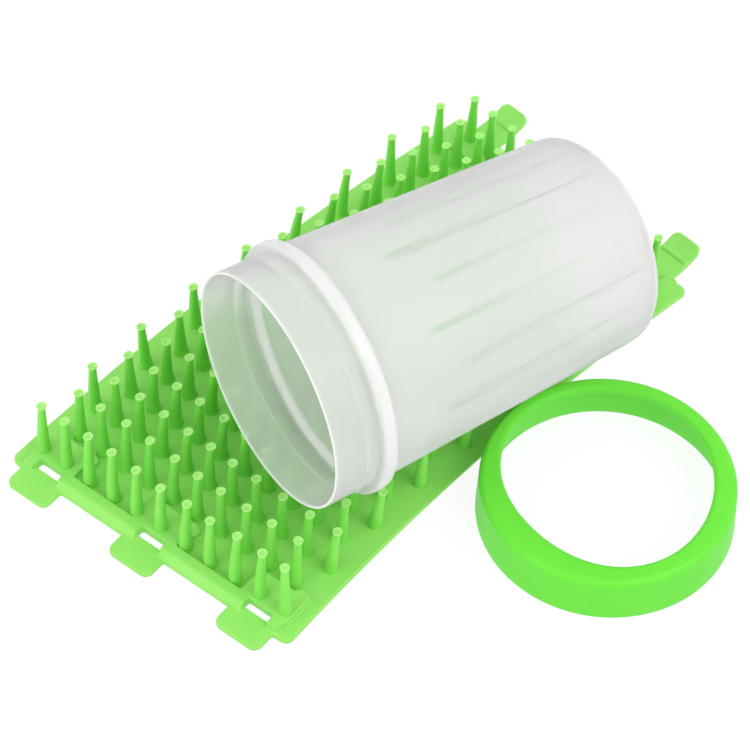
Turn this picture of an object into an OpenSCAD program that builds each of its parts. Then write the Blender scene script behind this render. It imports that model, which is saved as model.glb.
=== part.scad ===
// Paw washer cup, taken apart: a moulded cup lies on its side on the unrolled
// bristle mat that lines it in use, with the soft neck ring beside them.
// Origin: centre of the mat's underside. +Y runs along the mat, +Z is up.
// The mat is one flexible moulding. It is cut into one strip for each row of
// bristles, joined edge to edge, so that it can roll up into the cup's liner.

/* [Cup] */
// Length of the cup along its axis
cup_len = 127; // [115:1:150]
// Outer radius of the neck
neck_r = 39.5; // [38:0.1:39.6]
// Length of the neck in front of the collar
neck_len = 15.7; // [14:0.1:20]
// Outer radius of the collar
collar_r = 42.3; // [41.4:0.1:43]
// Width of the collar along the axis
collar_w = 5.1; // [4:0.1:7]
// Radius of the rounded edges of the collar
collar_round = 1.4; // [0.8:0.1:1.6]
// Outer radius of the body just behind the collar
body_top_r = 39.7; // [39:0.1:40]
// Outer radius of the body at its base
body_base_r = 36.4; // [34:0.1:38]
// Thickness of the cup's wall
cup_wall = 1.5; // [1.2:0.1:2]
// Thickness of the cup's base
cup_base_t = 1.8; // [1.5:0.1:3]
// Radius of the rounded edge round the base
base_round = 6; // [4:0.5:8]

/* [Cup ribs] */
// Number of shallow ribs inside the body
rib_count = 18; // [8:2:20]
// Radius of a rib's round section
rib_r = 1.6; // [1.2:0.1:2.4]
// How far a rib stands out of the inner wall
rib_out = 0.7; // [0.4:0.1:1]
// Distance from the mouth to the start of a long rib
rib_start_long = 40.5; // [28:0.5:42]
// Distance from the mouth to the start of a short rib
rib_start_short = 49; // [42:0.5:60]

/* [Mat] */
// Width of the mat, which is the length of the liner when it is rolled
mat_w = 123; // [118:1:126]
// Length of the mat along its middle line, without the tabs
mat_len = 217.8; // [216:0.1:220]
// Thickness of the sheet
mat_t = 2; // [1.6:0.1:2.4]
// Radius of the fan that the mat is cut to, so that it rolls into a taper
fan_r = 1066; // [900:1:1600]
// Distance from the slotted edge to the first row of bristles
row_first = 8.7; // [8.5:0.1:9]
// Distance between rows
row_pitch = 11.9; // [11.8:0.1:11.9]
// Lean of a strip's edges: half of the largest bend, and a little clearance
strip_lean = 9; // [8.8:0.1:10]
// Gap between two strips
strip_gap = 0.1; // [0.05:0.01:0.2]

/* [Bristles] */
// Height of a bristle above the sheet
bristle_h = 26; // [20:0.5:28]
// Radius of a bristle at its root
bristle_root_r = 2.35; // [1.8:0.05:2.6]
// Radius of a bristle just under its cap
bristle_neck_r = 1.35; // [1:0.05:1.6]
// Radius of the flared cap
bristle_cap_r = 1.75; // [1.4:0.05:1.9]
// Height of the flared cap
bristle_cap_h = 1.6; // [1:0.1:2.5]
// Distance between bristles in a row
bristle_pitch = 10.8; // [10.5:0.1:11]
// Bristles in a long row; a short row has one less
bristles_long = 11; // [9:2:11]

/* [Mat ends] */
// Distance between the tabs, and between the slots
tab_pitch = 46.4; // [44:0.1:48]
// Length of a slot
slot_len = 10.8; // [8:0.1:12]
// Width of a slot
slot_w = 2.8; // [2:0.1:3.2]
// Distance from the edge to a slot's middle
slot_inset = 4; // [3.5:0.1:4.4]
// Width of a tab at the slotted end
near_tab_w = 18.2; // [14:0.1:20]
// Length of a tab at the slotted end
near_tab_len = 8.3; // [6:0.1:10]
// Width of a long tab
far_tab_w = 13; // [12:0.5:15]
// Length of a long tab
far_tab_len = 17; // [14:0.1:19]
// Radius of a tab's corners
tab_round = 3; // [2:0.5:4]
// Depth of the raised bars along the ends
bar_depth = 6.1; // [5.6:0.1:6.5]
// Height of the bars and platforms above the sheet
bar_h = 2; // [1:0.1:2.5]
// Width of the platform behind a slot
platform_w = 19.4; // [16:0.2:22]
// Distance from the slotted edge to the back of its platforms
near_platform_depth = 13.4; // [12:0.1:13.4]
// Distance from the other edge to the back of its platforms
far_platform_depth = 11.6; // [11:0.1:11.6]
// Radius of a platform's round corner
platform_lobe = 4; // [2:0.5:4.5]
// Width of the short bars at the mat's corners
corner_bar_w = 4.6; // [3:0.1:5]
// Radius of the half-round rib across a long tab
catch_r = 0.9; // [0.5:0.1:1]

/* [Neck ring] */
// Height of the ring
ring_h = 18; // [16:0.5:20]
// Outer radius of the ring at its top edge
ring_top_r = 42.3; // [42:0.1:43]
// Outer radius of the ring at its bottom edge
ring_bottom_r = 43.2; // [43:0.1:45]
// Radius of the opening in the ring's top
ring_hole_r = 34.6; // [30:0.1:36]
// Radius inside the skirt under the top
ring_bore_top_r = 39.8; // [39.7:0.1:40]
// Radius inside the skirt at the bottom edge
ring_bore_bottom_r = 40.6; // [40.1:0.1:41]
// Thickness of the ring's inward lip
ring_lip_t = 2.6; // [2:0.1:4]
// Radius of the lip's outer edge
ring_round = 2; // [1:0.1:2.4]

/* [Arrangement] */
// Mouth of the cup, across the mat
cup_x = 31.6; // [25:0.1:35]
// Mouth of the cup, along the mat
cup_y = -71.6; // [-76:0.1:-66]
// Direction of the cup's axis, from +X towards +Y
cup_turn = 77.4; // [74:0.1:80]
// Centre of the ring, across the mat
ring_x = 105.8; // [105.8:0.1:110]
// Centre of the ring, along the mat
ring_y = 7.7; // [0:0.1:15]
// Clearance between the cup and the bristles under it
rest_gap = 0.3; // [0.2:0.1:1]

/* [Hidden] */
$fn = 64;
ROWS = 18;
CUP_COLOUR = [0.88, 0.90, 0.89, 0.55];
MAT_COLOUR = [0.47, 0.86, 0.28];
RING_COLOUR = [0.42, 0.92, 0.24];

// How far a solid is sunk into its neighbour, so that the two fuse
SINK = 0.5;
bristle_top = mat_t + bristle_h;

// Where the cup touches the bristles: under its collar and under its base
collar_mid = neck_len + collar_w / 2;
base_mid = cup_len - base_round;
cup_dip = atan((collar_r - body_base_r) / (base_mid - collar_mid));
mouth_z = bristle_top + rest_gap + collar_r * cos(cup_dip) + collar_mid * sin(cup_dip);

// Turn of the first rib from the top of the lying cup, in parts of the angle between two ribs
rib_phase = 0.2;

// Radius inside the collar, where the wall is thick
collar_inner_r = collar_r - 2.9;

// Outer radius of the body at a distance s from the mouth
function body_r(s) = body_top_r
    + (body_base_r - body_top_r) * (s - neck_len - collar_w) / (cup_len - neck_len - collar_w);

// Points on an arc
function arc(centre, r, from, to, steps = 8) =
    [for (i = [0:steps]) let (a = from + (to - from) * i / steps) centre + r * [cos(a), sin(a)]];

// Position of a row, and of the edge before it, along the mat's middle line
function row_y(i) = -mat_len / 2 + row_first + i * row_pitch;
function edge_y(i) =
    i == 0 ? -mat_len / 2 :
    i == ROWS ? mat_len / 2 :
    (row_y(i - 1) + row_y(i)) / 2;

// ---------------------------------------------------------------- cup

// Section of the outside, from the axis to the mouth: [radius, distance from the mouth]
function outer_section() = concat(
    [[0, cup_len]],
    arc([body_base_r - base_round, cup_len - base_round], base_round, 90, 0),
    [[body_top_r, neck_len + collar_w]],
    arc([collar_r - collar_round, neck_len + collar_w - collar_round], collar_round, 90, 0, 5),
    arc([collar_r - collar_round, neck_len + collar_round], collar_round, 0, -90, 5),
    [[neck_r, neck_len], [neck_r, 0], [0, 0]]);

// Section of the inside, open at the mouth
function inner_section() = concat(
    [[0, cup_len - cup_base_t]],
    arc(
        [body_base_r - base_round, cup_len - base_round + cup_wall - cup_base_t],
        base_round - cup_wall, 90, 0),
    [
        [body_top_r - cup_wall, neck_len + collar_w + cup_wall],
        [collar_inner_r, neck_len + collar_w],
        [collar_inner_r, neck_len + cup_wall],
        [neck_r - cup_wall, neck_len],
        [neck_r - cup_wall, -1],
        [0, -1]
    ]);

// Section of a sleeve round the outside of the body
function rib_trim_section() = let (from = neck_len + collar_w + SINK, to = cup_len - base_round) [
    [body_r(from), from], [collar_r + rib_r, from], [collar_r + rib_r, to], [body_r(to), to]];

// A shallow half-round rib on the inner wall, following its taper
module cup_rib(start) {
    finish = cup_len - base_round - cup_base_t;
    run = finish - start;
    lean = atan((body_r(start) - body_r(finish)) / run);
    translate([body_r(start) - cup_wall + rib_r - rib_out, 0, start])
        rotate([0, -lean, 0])
            union() {
                cylinder(h = run, r = rib_r, $fn = 32);
                sphere(r = rib_r, $fn = 32);
            }
}

module cup_solid() {
    difference() {
        union() {
            difference() {
                rotate_extrude($fn = 128) polygon(outer_section());
                rotate_extrude($fn = 128) polygon(inner_section());
            }
            for (i = [0:rib_count - 1])
                rotate([0, 0, (i + rib_phase) * 360 / rib_count])
                    cup_rib(i % 2 == 0 ? rib_start_short : rib_start_long);
        }
        // Trims what the ribs push out through the wall
        rotate_extrude($fn = 128) polygon(rib_trim_section());
    }
}

module cup() {
    color(CUP_COLOUR)
        translate([cup_x, cup_y, mouth_z])
            rotate([0, 90 + cup_dip, cup_turn])
                cup_solid();
}

// ---------------------------------------------------------------- neck ring

module neck_ring() {
    color(RING_COLOUR)
        translate([ring_x, ring_y, 0])
            rotate_extrude($fn = 128)
                polygon(concat(
                    [[ring_bore_bottom_r, 0], [ring_bottom_r, 0]],
                    arc([ring_top_r - ring_round, ring_h - ring_round], ring_round, 0, 90, 6),
                    arc([ring_hole_r + ring_lip_t / 2, ring_h - ring_lip_t / 2], ring_lip_t / 2, 90, 270, 8),
                    [[ring_bore_top_r, ring_h - ring_lip_t]]));
}

// ---------------------------------------------------------------- bristle mat

// Carries a shape drawn round the middle of the mat along the fan, by a distance y
module on_fan(y) {
    translate([fan_r, 0, 0])
        rotate([0, 0, -y / fan_r * 180 / PI])
            translate([-fan_r, 0, 0])
                children();
}

// Everything beyond a strip's edge; side is 1 for the edge further along the mat
module beyond_edge(side, lean) {
    rotate([side * lean, 0, 0])
        translate([-mat_w, side > 0 ? -strip_gap / 2 : -3 * row_pitch + strip_gap / 2, -2 * mat_t])
            cube([2 * mat_w, 3 * row_pitch, 20 * mat_t]);
}

module strip_sheet(i) {
    difference() {
        on_fan(row_y(i))
            translate([-mat_w / 2, -1.5 * row_pitch, 0])
                cube([mat_w, 3 * row_pitch, mat_t]);
        on_fan(edge_y(i)) beyond_edge(-1, i == 0 ? 0 : strip_lean);
        on_fan(edge_y(i + 1)) beyond_edge(1, i == ROWS - 1 ? 0 : strip_lean);
    }
}

module bristle() {
    shaft = bristle_h - bristle_cap_h;
    translate([0, 0, mat_t - SINK])
        cylinder(h = shaft + SINK, r1 = bristle_root_r, r2 = bristle_neck_r, $fn = 32);
    translate([0, 0, mat_t + shaft])
        cylinder(h = bristle_cap_h, r1 = bristle_neck_r, r2 = bristle_cap_r, $fn = 32);
}

// Rows are long and short in turn, so that the bristles stagger
module bristle_row(i) {
    count = bristles_long - i % 2;
    on_fan(row_y(i))
        for (j = [0:count - 1])
            translate([(j - (count - 1) / 2) * bristle_pitch, 0, 0])
                bristle();
}

// A flat tab with two rounded corners, pointing along +Y from the edge
module tab(w, len) {
    linear_extrude(mat_t) {
        translate([-w / 2, -SINK]) square([w, len - tab_round + SINK]);
        translate([-w / 2 + tab_round, 0]) square([w - 2 * tab_round, len]);
        for (x = [-1, 1])
            translate([x * (w / 2 - tab_round), len - tab_round]) circle(r = tab_round);
    }
}

// A raised bar with a sloping front, from x0 to x1, just inside the edge
module bar(x0, x1) {
    chamfer = 0.3;
    top = mat_t + bar_h;
    translate([x0, 0, 0])
        rotate([90, 0, 90])
            linear_extrude(x1 - x0)
                polygon([
                    [-strip_gap / 2, mat_t - SINK], [-strip_gap / 2, mat_t + chamfer],
                    [-bar_h, top - chamfer], [-bar_h - chamfer, top],
                    [-bar_depth + chamfer, top], [-bar_depth, top - chamfer],
                    [-bar_depth, mat_t - SINK]
                ]);
}

// A raised platform behind a slot or a tab, with one round corner
module platform(x, depth) {
    front = slot_inset + slot_w / 2;
    side = platform_w / 2;
    translate([x, 0, mat_t - SINK])
        linear_extrude(bar_h + SINK) {
            translate([-side, platform_lobe - depth])
                square([platform_w, depth - front - platform_lobe]);
            translate([-side, -depth])
                square([platform_w - platform_lobe, depth - front]);
            translate([side - platform_lobe, platform_lobe - depth]) circle(r = platform_lobe);
        }
}

// Raised work along an end of the mat, drawn with the edge on the X axis and the mat towards -Y
module end_ridges(depth) {
    half_slot = slot_len / 2;
    corner = tab_pitch + half_slot;
    bar(-tab_pitch + half_slot, -half_slot);
    bar(half_slot, tab_pitch - half_slot);
    bar(-corner - corner_bar_w, -corner);
    bar(corner, corner + corner_bar_w);
    for (x = [-1:1])
        platform(x * tab_pitch, depth);
}

module slots() {
    on_fan(-mat_len / 2)
        for (x = [-1:1])
            translate([x * tab_pitch - slot_len / 2, slot_inset - slot_w / 2, -1])
                cube([slot_len, slot_w, mat_t + bar_h + 2]);
}

module near_end() {
    on_fan(-mat_len / 2)
        mirror([0, 1, 0]) {
            end_ridges(near_platform_depth);
            for (x = [-1:1])
                translate([x * tab_pitch, 0, 0]) tab(near_tab_w, near_tab_len);
        }
}

module far_end() {
    on_fan(mat_len / 2) {
        end_ridges(far_platform_depth);
        for (x = [-1:1])
            translate([x * tab_pitch, 0, 0]) {
                tab(far_tab_w, far_tab_len);
                translate([-far_tab_w / 2 + SINK, far_tab_len / 2, mat_t])
                    rotate([0, 90, 0]) cylinder(h = far_tab_w - 2 * SINK, r = catch_r, $fn = 32);
            }
    }
}

module mat_row(i) {
    color(MAT_COLOUR)
        difference() {
            union() {
                strip_sheet(i);
                bristle_row(i);
                if (i == 0) near_end();
                if (i == ROWS - 1) far_end();
            }
            if (i == 0) slots();
        }
}

cup();
neck_ring();
mat_row(0);  // mat_row_01
mat_row(1);  // mat_row_02
mat_row(2);  // mat_row_03
mat_row(3);  // mat_row_04
mat_row(4);  // mat_row_05
mat_row(5);  // mat_row_06
mat_row(6);  // mat_row_07
mat_row(7);  // mat_row_08
mat_row(8);  // mat_row_09
mat_row(9);  // mat_row_10
mat_row(10);  // mat_row_11
mat_row(11);  // mat_row_12
mat_row(12);  // mat_row_13
mat_row(13);  // mat_row_14
mat_row(14);  // mat_row_15
mat_row(15);  // mat_row_16
mat_row(16);  // mat_row_17
mat_row(17);  // mat_row_18
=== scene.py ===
"""Looks of the paw washer cup: a frosted cup lying on its unrolled bristle mat, with the neck ring beside it.

The mat is one soft moulding on a real cup. Here its sheet is a row of pieces, each from one CAD
strip to the next, and each row of bristles rides on its own strip. Lengths below are in millimetres.
"""
import math
import random

import bmesh
import bpy
import numpy as np
from mathutils import Matrix, Vector


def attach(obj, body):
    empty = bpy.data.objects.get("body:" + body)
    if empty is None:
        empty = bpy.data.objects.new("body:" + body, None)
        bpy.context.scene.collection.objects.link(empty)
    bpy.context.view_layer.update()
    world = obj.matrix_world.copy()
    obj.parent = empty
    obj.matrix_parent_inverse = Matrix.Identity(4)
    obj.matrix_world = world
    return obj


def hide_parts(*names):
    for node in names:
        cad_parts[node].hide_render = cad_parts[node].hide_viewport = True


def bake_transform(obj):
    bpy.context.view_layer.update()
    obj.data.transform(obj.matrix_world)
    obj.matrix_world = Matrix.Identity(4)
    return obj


MM = 0.001

# The cup, measured along its axis from the mouth
CUP_LEN = 127.0
NECK_R, NECK_LEN = 39.5, 15.7
COLLAR_R, COLLAR_W, COLLAR_ROUND = 42.3, 5.1, 1.4
GROOVE_R = COLLAR_R - 2.9
BODY_TOP_R, BODY_BASE_R = 39.7, 36.4
BODY_START = NECK_LEN + COLLAR_W
WALL, BASE_T, BASE_ROUND = 1.5, 1.8, 6.0
BASE_RINGS, BASE_FLAT_R, BODY_STEPS = (0.0, 10.0, 20.0, 27.0), 33.0, 40
RIBS, RIB_PHASE, RIB_OUT, RIB_HALF_WIDTH, RIB_RAMP = 18, 0.2, 0.7, 1.5, 3.0
RIB_START_LONG, RIB_START_SHORT = 40.5, 49.0
SEAT_S, SEAT_H, RIM_R = 11.6, 0.15, 0.45

# Where the cup lies: its mouth's place, its turn about the vertical, and its gap over the bristles
CUP_X, CUP_Y, CUP_TURN, REST_GAP = 31.6, -71.6, 77.4, 0.3

# The mat, in its own flat coordinates: x across it and y along it
MAT_W, MAT_LEN, MAT_T, FAN_R = 123.0, 217.8, 2.0, 1066.0
ROWS, ROW_FIRST, ROW_PITCH = 18, 8.7, 11.9
END = MAT_LEN / 2

# The mat's ends. SLOT_IN and SLOT_OUT are a slot's long sides, counted outwards from the end.
TAB_PITCH, TAB_CORNER = 46.4, 3.2
TAB_PLACES = (-TAB_PITCH, 0, TAB_PITCH)
NEAR_TAB_W, NEAR_TAB_LEN, NEAR_TAB_SHIFT = 18.2, 8.3, -0.5
FAR_TAB_W, FAR_TAB_LEN, FAR_TAB_CURL = 13.0, 17.0, 36.0
SLOT_LEN, SLOT_IN, SLOT_OUT = 10.8, -5.4, -2.6
RIDGE_FOOT, RIDGE_Z = 0.8, 4.0
PLATFORMS = ((-57.0, -37.6), (-10.2, 9.0), (36.8, 57.0))
NEAR_PLATFORM_IN, FAR_PLATFORM_IN = 16.9, 15.0
END_VOXEL, LAP = 0.35, 0.3

# The bristles
BRISTLE_PITCH, BRISTLES_LONG = 10.8, 11
BRISTLE_H = 26.0
BRISTLE_TOP = MAT_T + BRISTLE_H - 0.1
STEM_FOOT_R, STEM_TOP_R, STEM_FOOT_Z = 2.33, 1.3, 3.2

# The ring
RING_X, RING_Y, RING_H = 105.8, 7.7, 18.0
RING_TOP_R, RING_BOTTOM_R = 42.3, 43.2
RING_HOLE_R, RING_LIP, RING_SHOULDER = 35.1, 4.0, 2.4
RING_BORE_TOP, RING_BORE_BOTTOM = 39.8, 40.6


# ---------------------------------------------------------------- helpers

def row_y(i):
    """Where row i stands, along the mat."""
    return -END + ROW_FIRST + i * ROW_PITCH


def on_fan(points):
    """Flat mat coordinates to the frame: the mat is cut to a fan. Beyond its ends it goes straight on."""
    p = np.asarray(points, float)
    along = np.clip(p[:, 1], -END, END)
    past = p[:, 1] - along
    a = along / FAN_R
    out = p.copy()
    out[:, 0] = FAN_R - (FAN_R - p[:, 0]) * np.cos(a) + past * np.sin(a)
    out[:, 1] = (FAN_R - p[:, 0]) * np.sin(a) + past * np.cos(a)
    return out


def new_piece(name, points, faces, smooth=True):
    """A mesh object from points in millimetres, with its normals facing out."""
    mesh = bpy.data.meshes.new(name)
    mesh.from_pydata([tuple(p) for p in np.asarray(points) * MM], [], faces)
    bm = bmesh.new()
    bm.from_mesh(mesh)
    bmesh.ops.recalc_face_normals(bm, faces=bm.faces)
    bm.to_mesh(mesh)
    bm.free()
    mesh.polygons.foreach_set("use_smooth", [smooth] * len(mesh.polygons))
    obj = bpy.data.objects.new(name, mesh)
    bpy.context.scene.collection.objects.link(obj)
    return obj


def sharp_by_angle(obj, degrees):
    """Keeps the corners of a smooth-shaded piece that are sharper than this."""
    bm = bmesh.new()
    bm.from_mesh(obj.data)
    for e in bm.edges:
        e.smooth = not (len(e.link_faces) == 2 and e.calc_face_angle(0) > math.radians(degrees))
    bm.to_mesh(obj.data)
    bm.free()


def arc(cx, cy, r, start, stop, steps):
    """Points on an arc, in degrees."""
    return [
        (cx + r * math.cos(a), cy + r * math.sin(a))
        for a in (math.radians(start + (stop - start) * i / steps) for i in range(steps + 1))
    ]


def grid_faces(rows, cols, wrap_rows=False, wrap_cols=False):
    """Quads over a grid of points that are numbered row by row."""
    faces = []
    for i in range(rows if wrap_rows else rows - 1):
        for j in range(cols if wrap_cols else cols - 1):
            k, n = (i + 1) % rows, (j + 1) % cols
            faces.append((i * cols + j, i * cols + n, k * cols + n, k * cols + j))
    return faces


# ---------------------------------------------------------------- materials

def nodes_of(name):
    """A new material, its node tree and its one shader."""
    mat = bpy.data.materials.new(name)
    mat.use_nodes = True
    tree = mat.node_tree
    tree.nodes.clear()
    out = tree.nodes.new("ShaderNodeOutputMaterial")
    shader = tree.nodes.new("ShaderNodeBsdfPrincipled")
    tree.links.new(shader.outputs[0], out.inputs[0])
    return mat, tree, shader


def coords(tree):
    """Places on the object itself, in metres."""
    return tree.nodes.new("ShaderNodeTexCoord").outputs["Object"]


def noise(tree, scale, detail=3.0, vector=None):
    """A cloudy pattern from 0 to 1, with about this many clouds to the metre."""
    n = tree.nodes.new("ShaderNodeTexNoise")
    n.inputs["Scale"].default_value = scale
    n.inputs["Detail"].default_value = detail
    tree.links.new(vector or coords(tree), n.inputs["Vector"])
    return n.outputs["Fac"]


def remap(tree, value, low, high, to_low, to_high):
    """Stretches the range from low to high over the range from to_low to to_high."""
    n = tree.nodes.new("ShaderNodeMapRange")
    for k, v in zip(("From Min", "From Max", "To Min", "To Max"), (low, high, to_low, to_high)):
        n.inputs[k].default_value = v
    tree.links.new(value, n.inputs["Value"])
    return n.outputs[0]


def mix_colour(tree, factor, a, b):
    """Colour a where the factor is 0, b where it is 1. Each is a tuple or another node's output."""
    n = tree.nodes.new("ShaderNodeMix")
    n.data_type = "RGBA"
    tree.links.new(factor, n.inputs["Factor"])
    for socket, value in ((n.inputs["A"], a), (n.inputs["B"], b)):
        if isinstance(value, tuple):
            socket.default_value = (*value, 1.0)
        else:
            tree.links.new(value, socket)
    return n.outputs["Result"]


def bump(tree, shader, height, strength, distance):
    """Fine relief from a pattern, this many millimetres deep."""
    n = tree.nodes.new("ShaderNodeBump")
    n.inputs["Strength"].default_value = strength
    n.inputs["Distance"].default_value = distance * MM
    tree.links.new(height, n.inputs["Height"])
    tree.links.new(n.outputs[0], shader.inputs["Normal"])


def silicone(name, base, deep, roughness, specular=0.35):
    """Satin silicone rubber: cloudy colour, a soft sheen and a fine moulded grain."""
    mat, tree, shader = nodes_of(name)
    cloud = remap(tree, noise(tree, 45.0), 0.3, 0.7, 0.0, 1.0)
    colour = mix_colour(tree, cloud, deep, base)
    tree.links.new(colour, shader.inputs["Base Color"])
    rough = remap(tree, noise(tree, 160.0), 0.3, 0.7, roughness - 0.05, roughness + 0.07)
    tree.links.new(rough, shader.inputs["Roughness"])
    bump(tree, shader, noise(tree, 2200.0, 2.0), 0.25, 0.05)
    shader.inputs["IOR"].default_value = 1.42
    shader.inputs["Specular IOR Level"].default_value = specular
    return mat, tree, shader, colour


def mat_silicone():
    """The mat's sheet."""
    return silicone("mat_silicone", (0.275, 0.68, 0.128), (0.235, 0.65, 0.105), 0.5)[0]


def attribute(tree, name):
    """The number that add_attribute stored at each point."""
    n = tree.nodes.new("ShaderNodeAttribute")
    n.attribute_name = name
    return n.outputs["Fac"]


def bristle_silicone_painted_light():
    """Painted shade makes it a deeper green than the sheet, and a painted highlight lightens the flared caps.
    It lets light in.
    """
    # Painted shade: the bristles get a deeper, more saturated green than the sheet of the same moulding, for
    # the saturated shade among them.
    mat, tree, shader, colour = silicone(
        "bristle_silicone_painted_light", (0.235, 0.69, 0.10), (0.20, 0.66, 0.08), 0.46)
    # Painted highlight: the caps' flare and rim are mixed toward a light green.
    with_cap_highlight = mix_colour(tree, attribute(tree, "cap_highlight"), colour, (0.42, 0.75, 0.24))
    tree.links.new(with_cap_highlight, shader.inputs["Base Color"])
    shader.inputs["Subsurface Weight"].default_value = 0.55
    shader.inputs["Subsurface Radius"].default_value = (0.35, 1.0, 0.2)
    shader.inputs["Subsurface Scale"].default_value = 1.6 * MM
    return mat


def ring_silicone():
    """The ring's stronger green, a little glossier than the mat."""
    return silicone("ring_silicone", (0.135, 0.665, 0.040), (0.12, 0.645, 0.034), 0.42, 0.3)[0]


def along_cup(tree, stretch):
    """Coordinates along the lying cup's axis, stretched that way."""
    n = tree.nodes.new("ShaderNodeMapping")
    n.vector_type = "TEXTURE"
    n.inputs["Rotation"].default_value = (0, 0, math.radians(CUP_TURN))
    n.inputs["Scale"].default_value = (stretch, 1, 1)
    tree.links.new(coords(tree), n.inputs["Vector"])
    return n.outputs[0]


def cup_plastic():
    """Frosted translucent polypropylene: less clear and more white where the plastic is thicker, which on the
    collar's outside is partly a painted highlight, with painted shade and a painted green reflection of the
    mat along the ribs.
    """
    mat, tree, shader = nodes_of("cup_plastic")
    flow = remap(tree, noise(tree, 42.0, 3.0, along_cup(tree, 3.0)), 0.3, 0.7, 0.0, 1.0)
    colour = mix_colour(tree, flow, (0.972, 0.958, 0.970), (0.994, 0.976, 0.990))
    # Painted shade and a painted green reflection of the mat along the ribs.
    rib_shaded = mix_colour(tree, attribute(tree, "rib"), colour, (0.73, 0.87, 0.72))
    # More white where the plastic is thicker; on the collar's outside this is partly a painted highlight.
    whiter_and_highlit = mix_colour(tree, attribute(tree, "thick"), rib_shaded, (0.99, 0.985, 0.99))
    tree.links.new(whiter_and_highlit, shader.inputs["Base Color"])
    clear = remap(tree, attribute(tree, "thick"), 0.0, 1.0, 0.73, 0.25)
    tree.links.new(clear, shader.inputs["Transmission Weight"])
    rough = remap(tree, attribute(tree, "thick"), 0.0, 0.25, 0.35, 0.40)
    tree.links.new(rough, shader.inputs["Roughness"])
    bump(tree, shader, noise(tree, 1800.0, 2.0), 0.15, 0.03)
    shader.inputs["IOR"].default_value = 1.3
    shader.inputs["Subsurface Weight"].default_value = 1.0
    shader.inputs["Subsurface Radius"].default_value = (1.0, 1.0, 1.0)
    shader.inputs["Subsurface Scale"].default_value = 2.5 * MM
    return mat


# ---------------------------------------------------------------- cup

def cup_outside():
    """The outer section from the axis at the base to the mouth, as (radius, distance from the mouth)."""
    points = [(r, CUP_LEN) for r in BASE_RINGS]
    points += arc(BODY_BASE_R - BASE_ROUND, CUP_LEN - BASE_ROUND, BASE_ROUND, 90, 0, 10)
    for t in np.linspace(0, 1, BODY_STEPS)[1:-1]:
        s = CUP_LEN - BASE_ROUND + t * (BODY_START + 1.0 - CUP_LEN + BASE_ROUND)
        points.append((body_r(s), s))
    points += [(BODY_TOP_R + 0.05, BODY_START + 0.5), (BODY_TOP_R + 0.5, BODY_START + 0.05)]
    points += arc(COLLAR_R - COLLAR_ROUND, BODY_START - COLLAR_ROUND, COLLAR_ROUND, 90, 0, 8)
    points += arc(COLLAR_R - COLLAR_ROUND, NECK_LEN + COLLAR_ROUND, COLLAR_ROUND, 0, -90, 8)
    points += [(NECK_R + 0.4, NECK_LEN - 0.05), (NECK_R, NECK_LEN - 0.5)]
    points += [(NECK_R, SEAT_S + 0.5), (NECK_R + SEAT_H, SEAT_S + 0.2), (NECK_R + SEAT_H, SEAT_S - 0.2)]
    points += [(NECK_R, s) for s in (SEAT_S - 0.5, 8.0, 4.0, 1.2)]
    return points


def cup_mouth():
    """The rounded rim at the mouth, from outside to inside."""
    return arc(NECK_R - RIM_R, RIM_R, RIM_R, 0, -180, 6)


def cup_inside():
    """The inner section from the mouth to the axis at the base."""
    points = [(NECK_R - 2 * RIM_R - 0.1, 1.2), (NECK_R - WALL + 0.2, 4.0)]
    points += [(NECK_R - WALL, s) for s in (8.0, SEAT_S - 0.5)]
    points += [(NECK_R - WALL - 0.1, SEAT_S - 0.2), (NECK_R - WALL - 0.1, SEAT_S + 0.2)]
    points += [(NECK_R - WALL, SEAT_S + 0.5), (NECK_R - WALL, NECK_LEN - 0.6)]
    points += [(GROOVE_R - 0.3, NECK_LEN + 0.3), (GROOVE_R - 0.1, NECK_LEN + 1.0)]
    points += [(GROOVE_R, s) for s in (NECK_LEN + 2.1, NECK_LEN + 2.5, NECK_LEN + 3.1, BODY_START - 0.3)]
    points += [(GROOVE_R - 0.2, BODY_START + 0.3), (GROOVE_R - 0.6, BODY_START + 0.8)]
    for t in np.linspace(0, 1, BODY_STEPS)[1:]:
        s = BODY_START + 1.5 + t * (CUP_LEN - BASE_ROUND - BODY_START - 1.8)
        points.append((body_r(s) - WALL, s))
    points += arc(
        BODY_BASE_R - BASE_ROUND, CUP_LEN - BASE_ROUND - BASE_T + WALL, BASE_ROUND - WALL, 0, 90, 8)[1:]
    points += [(r, CUP_LEN - BASE_T) for r in BASE_RINGS[::-1]]
    return points


def smooth_step(t):
    """Eases from 0 to 1 as t does."""
    t = min(1.0, max(0.0, t))
    return t * t * (3 - 2 * t)


def body_r(s):
    """The tapered body's outer radius at a distance s from the mouth."""
    return BODY_TOP_R + (BODY_BASE_R - BODY_TOP_R) * (s - BODY_START) / (CUP_LEN - BODY_START)


def rib_profile(angle, s):
    """How much of a rib there is at an angle, in degrees, and a distance s from the mouth: 0 to 1."""
    step = 360 / RIBS
    index = math.floor(angle / step - RIB_PHASE + 0.5)
    off = math.radians(angle - (index + RIB_PHASE) * step) * BODY_TOP_R
    start = RIB_START_SHORT if index % 2 == 0 else RIB_START_LONG
    rise = min(1.0, max(0.0, (s - start) / RIB_RAMP))
    fall = min(1.0, max(0.0, (CUP_LEN - BASE_ROUND - s) / RIB_RAMP))
    across = max(0.0, 1 - (off / RIB_HALF_WIDTH) ** 2)
    return across * math.sin(rise * math.pi / 2) * fall


def rib_shade_strength(angle, s):
    """How strongly a rib's painted shade and painted green reflection of the mat show; the wall is also made
    clearer there. It shows most where the rib starts.
    """
    start, fades_over = (RIB_START_LONG + RIB_START_SHORT) / 2, 38.0
    return rib_profile(angle, s) * math.exp(-max(0.0, s - start) / fades_over)


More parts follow.
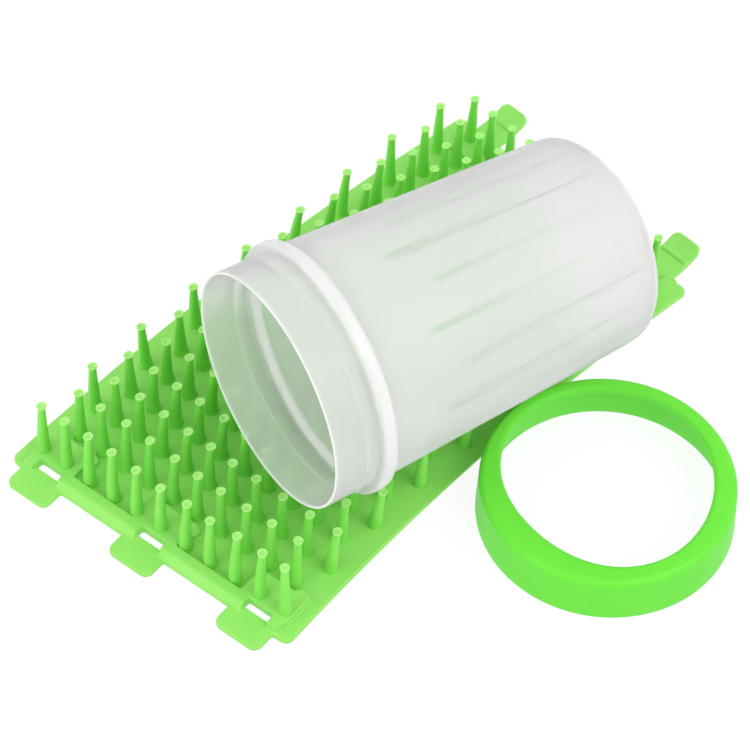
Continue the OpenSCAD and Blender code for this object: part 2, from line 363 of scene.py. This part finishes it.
def thickness(s, inner):
    """How much the plastic counts as thicker, from 0 on the neck's plain wall to 1 at the rim and inside the
    collar. On the collar's outside this is partly a painted highlight.
    """
    rim = max(0.0, 1 - s / 0.7)
    front = NECK_LEN + (2.2 if inner else -0.2)
    collar = smooth_step((s - front) / 0.6) * smooth_step((BODY_START + 0.9 - s) / 0.8)
    seat = max(0.0, 1 - abs(s - SEAT_S) / 0.5) * 0.25
    body = 0.18 * smooth_step((s - BODY_START) / 6.0)
    base = smooth_step((s - CUP_LEN + BASE_ROUND) / 4.0) * 0.6
    # On the collar's outside, the 0.35 is partly a painted highlight.
    return max(rim, collar * (1.0 if inner else 0.35), seat, body, base)


def cup_angles():
    """Angles round the cup, close together where a rib is."""
    step = 360 / RIBS
    near = (-2.6, -2.0, -1.3, -0.65, 0.0, 0.65, 1.3, 2.0, 2.6)
    angles = []
    for i in range(RIBS):
        middle = (i + RIB_PHASE) * step
        angles += [middle + a for a in near]
        angles += list(np.linspace(middle + 2.6, middle + step - 2.6, 8)[1:-1])
    return sorted(a % 360 for a in angles)


def cup_matrix():
    """From the cup's own axis, mouth at zero, to where it lies on the bristles."""
    collar_mid = NECK_LEN + COLLAR_W / 2
    base_mid = CUP_LEN - BASE_ROUND
    dip = math.atan((COLLAR_R - BODY_BASE_R) / (base_mid - collar_mid))
    rest = MAT_T + BRISTLE_H + REST_GAP
    mouth_z = rest + COLLAR_R * math.cos(dip) + collar_mid * math.sin(dip)
    return (
        Matrix.Translation(Vector((CUP_X, CUP_Y, mouth_z)) * MM)
        @ Matrix.Rotation(math.radians(CUP_TURN), 4, "Z")
        @ Matrix.Rotation(math.pi / 2 + dip, 4, "Y")
    )


def add_attribute(piece, name, values):
    """Stores one number at each point, for a material to read."""
    layer = piece.data.attributes.new(name, "FLOAT", "POINT")
    layer.data.foreach_set("value", values)


def turned_faces(starts, n):
    """Faces between rings of n points. Each start is a ring's first point, and whether it is a pole."""
    faces = []
    for (a, a_pole), (b, b_pole) in zip(starts, starts[1:]):
        for j in range(n):
            m = (j + 1) % n
            if a_pole:
                faces.append((a, b + j, b + m))
            elif b_pole:
                faces.append((a + j, b, a + m))
            else:
                faces.append((a + j, b + j, b + m, a + m))
    return faces


def make_cup():
    """The cup as one closed shell, outside, rim and inside, with the ribs on its inner wall."""
    outside, inside = cup_outside() + cup_mouth(), cup_inside()
    section = [(r, s, False) for r, s in outside] + [(r, s, True) for r, s in inside]
    angles = cup_angles()
    points, starts, rib_shade, thick = [], [], [], []
    clearer_at_rib = 0.12
    for r, s, inner in section:
        starts.append((len(points), r == 0.0))
        on_body = s > RIB_START_LONG - RIB_RAMP and r > BASE_FLAT_R
        for a in ([0.0] if r == 0.0 else angles):
            reach = r - (RIB_OUT * rib_profile(a, s) if inner and on_body else 0.0)
            points.append((reach * math.cos(math.radians(a)), reach * math.sin(math.radians(a)), s))
            # Where a rib shows, its painted shade is stored, and the wall is made a little clearer.
            rib_shade.append(rib_shade_strength(a, s) if on_body else 0.0)
            thick.append(thickness(s, inner) - clearer_at_rib * rib_shade[-1])
    cup = new_piece("cup_shell", points, turned_faces(starts, len(angles)))
    # These carry the ribs' painted shade and the collar's painted highlight to the material.
    add_attribute(cup, "rib", rib_shade)
    add_attribute(cup, "thick", thick)
    cup.data.transform(cup_matrix())
    cup.data.materials.append(cup_plastic())
    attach(cup, "cup")
    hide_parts("cup")


# ---------------------------------------------------------------- ring

def ring_section():
    """The ring's closed section, from the bottom of the skirt outside, round the lip and down inside."""
    fillet = 2.6
    under_lip = RING_H - 0.1 - RING_LIP
    points = [(RING_BOTTOM_R - 0.5, 0.05)]
    points += arc(RING_BOTTOM_R - 0.7, 0.7, 0.7, -60, 0, 3)
    taper = RING_BOTTOM_R - RING_TOP_R
    points += [(RING_BOTTOM_R - taper * t, 0.9 + 14.2 * t) for t in (0.2, 0.4, 0.6, 0.8)]
    points += arc(RING_TOP_R - RING_SHOULDER, RING_H - RING_SHOULDER, RING_SHOULDER, 0, 90, 8)
    points += [(RING_HOLE_R + 3.2, RING_H - 0.06)]
    points += arc(RING_HOLE_R + RING_LIP / 2, under_lip + RING_LIP / 2, RING_LIP / 2, 90, 270, 10)
    points += arc(RING_BORE_TOP - fillet, under_lip - fillet, fillet, 90, 0, 6)
    flare = RING_BORE_BOTTOM - RING_BORE_TOP
    points += [(RING_BORE_TOP + flare * t, 12.0 - 11.2 * t) for t in (0.3, 0.6)]
    points += [(RING_BORE_BOTTOM, 0.8), (RING_BORE_BOTTOM + 0.3, 0.2), (RING_BORE_BOTTOM + 0.8, 0.0)]
    return points


def out_of_round(a):
    """How far the soft lip stands off a true circle, at an angle in radians."""
    return (
        2.0 * math.cos(a - math.radians(118))
        + math.cos(2 * a + math.radians(34))
        + 0.75 * math.cos(3 * a + math.radians(116)))


def make_ring():
    """The ring, standing on its skirt. Its lip, and one side of it a little, stand out of round."""
    section = ring_section()
    turns = 192
    points = []
    for i in range(turns):
        a = 2 * math.pi * i / turns
        slack = 0.5 * max(0.0, math.cos(a - math.radians(135))) ** 2
        for r, z in section:
            on_lip = max(0.0, min(1.0, (RING_BORE_TOP + 1.5 - r) / 5.5))
            reach = r + slack + on_lip * out_of_round(a)
            points.append((RING_X + reach * math.cos(a), RING_Y + reach * math.sin(a), z))
    ring = new_piece("neck_ring_soft", points, grid_faces(turns, len(section), True, True))
    ring.data.materials.append(ring_silicone())
    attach(ring, "neck_ring")
    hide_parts("neck_ring")


# ---------------------------------------------------------------- bristles

def bristle_section():
    """A bristle's outline, as (radius, height, painted highlight on the cap)."""
    top = BRISTLE_TOP
    points = [(3.0, 1.7, 0.0), (2.7, 2.05, 0.0), (2.45, 2.5, 0.0), (STEM_FOOT_R, STEM_FOOT_Z, 0.0)]
    stem = top - 2.4 - STEM_FOOT_Z
    for t in np.linspace(0.06, 1, 10):
        points.append((STEM_FOOT_R + (STEM_TOP_R - STEM_FOOT_R) * t, STEM_FOOT_Z + stem * t, 0.0))
    # The third number paints a highlight: it grows up the flare, peaks on the rim and eases into the dish.
    points += [(1.32, top - 1.7, 0.1), (1.45, top - 1.1, 0.2), (1.63, top - 0.6, 0.4)]
    points += [(1.72, top - 0.3, 0.5), (1.69, top - 0.1, 0.7), (1.52, top, 0.85), (1.3, top - 0.04, 0.8)]
    points += [(1.12, top - 0.2, 0.6), (0.75, top - 0.34, 0.55), (0.0, top - 0.38, 0.5)]
    return points


def lean_of(x, y, rng):
    """How far a tip stands off its root. Neighbours lean alike, as on a mat that has been rolled.

    They lean across the mat, most about its middle and least at its near right corner.
    """
    rise = smooth_step((y + 104) / 45)
    fall = smooth_step((y - 10) / 80)
    corner = smooth_step((x - 42) / 12) * smooth_step((-84 - y) / 12)
    middle = math.exp(-((y - 35) / 35) ** 2)
    lean_x = 2.6 + 2.3 * rise - 2.2 * fall - 2.3 * corner + middle + 0.6 * math.sin(0.08 * x + 0.05 * y)
    lean_y = 1.2 - 3.1 * rise + 2.0 * middle + 0.5 * math.sin(0.06 * x - 0.03 * y + 1.0)
    return lean_x + rng.uniform(-0.45, 0.45), lean_y + rng.uniform(-0.35, 0.35)


def make_bristle_row(i, material, rng):
    """Row i's bristles, alternately one more and one fewer, each bent over by its own lean."""
    section = bristle_section()
    sides = 20
    count = BRISTLES_LONG - i % 2
    points, faces, cap_highlight = [], [], []
    around = np.arange(sides) * 2 * math.pi / sides
    for j in range(count):
        x, y = (j - (count - 1) / 2) * BRISTLE_PITCH, row_y(i)
        lean_x, lean_y = lean_of(x, y, rng)
        starts = []
        for r, z, cap_highlight_amount in section:
            t = max(0.0, (z - MAT_T) / (BRISTLE_TOP - MAT_T)) ** 1.3
            cx, cy = x + lean_x * t, y + lean_y * t
            starts.append((len(points), r == 0))
            for a in ([0.0] if r == 0 else around):
                points.append((cx + r * math.cos(a), cy + r * math.sin(a), z))
                cap_highlight.append(cap_highlight_amount)
        faces.append(tuple(starts[0][0] + k for k in range(sides)))
        faces += turned_faces(starts, sides)
    row = new_piece(f"bristles_{i + 1:02d}", on_fan(points), faces)
    # The caps' painted highlight, for the material to mix in.
    add_attribute(row, "cap_highlight", cap_highlight)
    row.data.materials.append(material)
    body = f"mat_row_{i + 1:02d}"
    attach(row, body)
    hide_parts(body)


# ---------------------------------------------------------------- the mat's sheet

def bend_with_strips(piece, i):
    """A sheet piece goes from strip i to the next. This finds where the bristles' roots end on both strips,
    then bakes the piece's placement into its mesh.
    """
    root = 2.6
    start, end = on_fan([(0, row_y(i) + root, 0), (0, row_y(i + 1) - root, 0)]) * MM
    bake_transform(piece)


def make_sheet_piece(i, material):
    """The sheet from the middle of row i to the middle of the next, with rounded long edges."""
    half, r = MAT_W / 2, 0.7
    section = arc(half - r, MAT_T - r, r, 0, 90, 5) + arc(-half + r, MAT_T - r, r, 90, 180, 5)
    section += arc(-half + r, r, r, 180, 270, 5) + arc(half - r, r, r, 270, 360, 5)
    steps = 12
    points = [
        (x, row_y(i) + ROW_PITCH * k / steps, z) for k in range(steps + 1) for x, z in section
    ]
    n = len(section)
    faces = grid_faces(steps + 1, n, wrap_cols=True)
    faces += [tuple(range(n))[::-1], tuple(steps * n + k for k in range(n))]
    piece = new_piece(f"mat_sheet_{i + 1:02d}", on_fan(points), faces)
    sharp_by_angle(piece, 50)
    piece.data.materials.append(material)
    bend_with_strips(piece, i)


def block(bm, x0, x1, v0, v1, z0, z1):
    """A box, in the end's own coordinates: v is the distance out from the mat's end."""
    middle = Vector(((x0 + x1) / 2, (v0 + v1) / 2, (z0 + z1) / 2))
    size = Matrix.Diagonal((abs(x1 - x0), abs(v1 - v0), abs(z1 - z0), 1))
    bmesh.ops.create_cube(bm, size=1, matrix=Matrix.Translation(middle) @ size)


def disc(bm, x, v, r, z0, z1):
    """An upright round post."""
    bmesh.ops.create_cone(
        bm, cap_ends=True, segments=48, radius1=r, radius2=r, depth=z1 - z0,
        matrix=Matrix.Translation((x, v, (z0 + z1) / 2)))


def prism(bm, x0, x1, outline):
    """A bar along x with this outline of (v, z) points."""
    ends = [[bm.verts.new((x, v, z)) for v, z in outline] for x in (x0, x1)]
    bm.faces.new(ends[0][::-1])
    bm.faces.new(ends[1])
    for k in range(len(outline)):
        m = (k + 1) % len(outline)
        bm.faces.new((ends[0][k], ends[0][m], ends[1][m], ends[1][k]))


def end_tab(bm, x, width, length):
    """A flat tab with two round corners."""
    root, half, corner = -1.5, width / 2, TAB_CORNER
    block(bm, x - half, x + half, root, length - corner, 0, MAT_T)
    block(bm, x - half + corner, x + half - corner, root, length, 0, MAT_T)
    for side in (-1, 1):
        disc(bm, x + side * (half - corner), length - corner, corner, 0, MAT_T)


def end_sheet(bm, inner, with_slots):
    """The sheet at one end, in to the distance inner, with its round corners and its slots."""
    half, corner = MAT_W / 2, 3.0
    block(bm, -half, half, inner, SLOT_IN, 0, MAT_T)
    block(bm, -half + corner, half - corner, SLOT_OUT, 0, 0, MAT_T)
    block(bm, -half, -half + corner + LAP, SLOT_IN - LAP, -corner, 0, MAT_T)
    block(bm, half - corner - LAP, half, SLOT_IN - LAP, -corner, 0, MAT_T)
    for side in (-1, 1):
        disc(bm, side * (half - corner), -corner, corner, 0, MAT_T)
    stops = [-half + corner]
    for x in TAB_PLACES:
        stops += [x - SLOT_LEN / 2, x + SLOT_LEN / 2]
    stops.append(half - corner)
    if with_slots:
        for a, b in zip(stops[::2], stops[1::2]):
            block(bm, a, b, SLOT_IN - LAP, SLOT_OUT + LAP, 0, MAT_T)
    else:
        block(bm, stops[0], stops[-1], SLOT_IN - LAP, SLOT_OUT + LAP, 0, MAT_T)


def end_ridges(bm, depth):
    """The raised bars, corner blocks and platforms along one end; depth is how far in the platforms go."""
    slot, lobe, corner_lobe = SLOT_LEN / 2, 2.7, 2.8
    outline = [(-0.3, RIDGE_FOOT), (-0.35, 2.0), (-2.5, 3.9), (-2.9, RIDGE_Z)]
    outline += [(-6.4, RIDGE_Z), (-6.4, RIDGE_FOOT)]
    for x0, x1 in ((-TAB_PITCH + slot, -slot), (slot, TAB_PITCH - slot)):
        prism(bm, x0, x1, outline)
    for side in (-1, 1):
        a, b = side * (TAB_PITCH + slot), side * (TAB_PITCH + slot + 4.6)
        block(bm, min(a, b), max(a, b), -7.2, -0.9, RIDGE_FOOT, RIDGE_Z)
    for x0, x1 in PLATFORMS:
        block(bm, x0, x1, -depth, SLOT_IN, RIDGE_FOOT, RIDGE_Z)
    for x in (PLATFORMS[1][1], PLATFORMS[0][1]):
        disc(bm, x, lobe - depth, lobe, RIDGE_FOOT, RIDGE_Z)
    for x in (-54.2, 54.2):
        disc(bm, x, 0.3 - depth, corner_lobe, RIDGE_FOOT, RIDGE_Z)


def catch_rib(bm, x, width):
    """A low half-round rib across a long tab."""
    turn = Matrix.Rotation(math.pi / 2, 4, "Y")
    bmesh.ops.create_cone(
        bm, cap_ends=True, segments=24, radius1=1.0, radius2=1.0, depth=width - 1.2,
        matrix=Matrix.Translation((x, FAR_TAB_LEN / 2, MAT_T - 0.1)) @ turn)


def as_one_moulding(bm):
    """Joins the overlapping solids in bm into one skin with soft edges, and returns the new mesh."""
    mesh = bpy.data.meshes.new("end_solids")
    bm.to_mesh(mesh)
    bm.free()
    obj = bpy.data.objects.new("end_solids", mesh)
    bpy.context.scene.collection.objects.link(obj)
    remesh = obj.modifiers.new("skin", "REMESH")
    remesh.mode = "VOXEL"
    remesh.voxel_size = END_VOXEL
    remesh.adaptivity = 0.0
    soften = obj.modifiers.new("soften", "SMOOTH")
    soften.factor, soften.iterations = 0.5, 1
    graph = bpy.context.evaluated_depsgraph_get()
    made = bpy.data.meshes.new_from_object(obj.evaluated_get(graph))
    bpy.data.objects.remove(obj)
    return made


def curl_up(flat):
    """Curls what lies beyond the mat's end upwards, as soft tabs keep the bend of the rolled mat."""
    radius = FAR_TAB_LEN / math.radians(FAR_TAB_CURL)
    past = flat[:, 1] > 0
    angle = flat[past, 1] / radius
    reach = radius - (flat[past, 2] - MAT_T / 2)
    flat[past, 1] = reach * np.sin(angle)
    flat[past, 2] = MAT_T / 2 + radius - reach * np.cos(angle)


def end_moulding(near, inner):
    """One end's sheet, ridges and tabs as one mesh, from a little further in than the distance inner."""
    spare = 5.0
    bm = bmesh.new()
    end_sheet(bm, inner - spare, with_slots=near)
    end_ridges(bm, NEAR_PLATFORM_IN if near else FAR_PLATFORM_IN)
    for x in TAB_PLACES:
        if near:
            end_tab(bm, x + NEAR_TAB_SHIFT, NEAR_TAB_W, NEAR_TAB_LEN)
        else:
            end_tab(bm, x, FAR_TAB_W, FAR_TAB_LEN)
            catch_rib(bm, x, FAR_TAB_W)
    return as_one_moulding(bm)


def cut_off(mesh, inner):
    """Cuts a mesh flat at the distance inner, and closes it there. Returns its points and faces."""
    bm = bmesh.new()
    bm.from_mesh(mesh)
    cut = bmesh.ops.bisect_plane(
        bm, geom=bm.verts[:] + bm.edges[:] + bm.faces[:],
        plane_co=(0, inner, 0), plane_no=(0, -1, 0), clear_outer=True)
    rim = [e for e in cut["geom_cut"] if isinstance(e, bmesh.types.BMEdge)]
    bmesh.ops.holes_fill(bm, edges=rim)
    points = np.array([v.co for v in bm.verts])
    faces = [tuple(v.index for v in f.verts) for f in bm.faces]
    bm.free()
    return points, faces


def make_end_piece(near, material):
    """One end of the mat, with its tabs, in to the middle of the second row."""
    name, side, strip, inner_row = "mat_end_near", -1, 0, 1
    if not near:
        name, side, strip, inner_row = "mat_end_far", 1, ROWS - 2, ROWS - 2
    inner = abs(row_y(inner_row)) - END
    flat, faces = cut_off(end_moulding(near, inner), inner)
    if not near:
        curl_up(flat)
    flat[:, 1] = side * (END + flat[:, 1])
    piece = new_piece(name, on_fan(flat), faces)
    sharp_by_angle(piece, 75)
    piece.data.materials.append(material)
    bend_with_strips(piece, strip)


def make_mat():
    """Both ends, the sheet between them and all rows of bristles."""
    rng = random.Random(7)
    sheet_material, bristle_material = mat_silicone(), bristle_silicone_painted_light()
    for near in (True, False):
        make_end_piece(near, sheet_material)
    for i in range(1, ROWS - 2):
        make_sheet_piece(i, sheet_material)
    for i in range(ROWS):
        make_bristle_row(i, bristle_material, rng)


# ---------------------------------------------------------------- stage

def make_floor():
    """A plain white floor, just under everything."""
    mesh = bpy.data.meshes.new("floor")
    s, z = 6.0, -0.0002
    mesh.from_pydata([(-s, -s, z), (s, -s, z), (s, s, z), (-s, s, z)], [], [(0, 1, 2, 3)])
    floor = bpy.data.objects.new("floor", mesh)
    bpy.context.scene.collection.objects.link(floor)
    mat, _, shader = nodes_of("floor_white")
    shader.inputs["Base Color"].default_value = (0.13, 0.13, 0.13, 1)
    shader.inputs["Roughness"].default_value = 0.9
    shader.inputs["Specular IOR Level"].default_value = 0.0
    shader.inputs["Emission Color"].default_value = (1, 1, 1, 1)
    shader.inputs["Emission Strength"].default_value = 0.88
    floor.data.materials.append(mat)


def area_light(name, place, aim, size, power):
    """A round soft light, in metres and watts, turned to what it lights."""
    data = bpy.data.lights.new(name, "AREA")
    data.shape, data.size, data.energy = "DISK", size, power
    lamp = bpy.data.objects.new(name, data)
    lamp.location = place
    lamp.rotation_euler = (Vector(aim) - Vector(place)).to_track_quat("-Z", "Y").to_euler()
    bpy.context.scene.collection.objects.link(lamp)


def make_light():
    """A bright even sky, with soft lights from the right, from above and from the front."""
    world = bpy.data.worlds.new("soft_sky")
    world.use_nodes = True
    sky = world.node_tree.nodes["Background"]
    sky.inputs["Color"].default_value = (1, 1, 1, 1)
    sky.inputs["Strength"].default_value = 0.92
    bpy.context.scene.world = world
    area_light("key", (1.1, 0.1, 1.1), (0, 0, 0), 1.0, 9)
    area_light("top", (-0.2, -0.3, 1.6), (0, 0, 0), 1.5, 2)
    area_light("fill", (-0.25, -1.3, 0.6), (0, 0, 0.03), 0.9, 5.5)


def make_camera():
    """The view from the front right and above, turned a little about its own axis."""
    azimuth, elevation, roll = math.radians(45.19), math.radians(50.40), math.radians(-1.9)
    target, distance = Vector((9.35, -2.37, 0.0)) * MM, 707.4 * MM
    back = Vector((
        math.sin(azimuth) * math.cos(elevation),
        -math.cos(azimuth) * math.cos(elevation),
        math.sin(elevation)))
    right = Vector((math.cos(azimuth), math.sin(azimuth), 0))
    up = back.cross(right)
    right_r = math.cos(roll) * right + math.sin(roll) * up
    up_r = -math.sin(roll) * right + math.cos(roll) * up
    data = bpy.data.cameras.new("camera")
    data.lens, data.sensor_width = 96.0, 36.0
    data.clip_start, data.clip_end = 0.01, 50.0
    camera = bpy.data.objects.new("camera", data)
    turn = Matrix((right_r, up_r, back)).transposed().to_4x4()
    camera.matrix_world = Matrix.Translation(target + back * distance) @ turn
    bpy.context.scene.collection.objects.link(camera)
    bpy.context.scene.camera = camera


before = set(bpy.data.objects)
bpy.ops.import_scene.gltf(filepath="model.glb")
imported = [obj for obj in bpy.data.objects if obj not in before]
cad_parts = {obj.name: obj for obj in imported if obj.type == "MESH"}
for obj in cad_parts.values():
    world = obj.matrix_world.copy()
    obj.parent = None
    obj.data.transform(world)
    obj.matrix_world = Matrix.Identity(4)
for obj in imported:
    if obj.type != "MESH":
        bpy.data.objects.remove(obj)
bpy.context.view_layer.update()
bpy.context.scene.view_settings.view_transform = "Standard"
make_camera()
make_floor()
make_light()
make_cup()
make_ring()
make_mat()
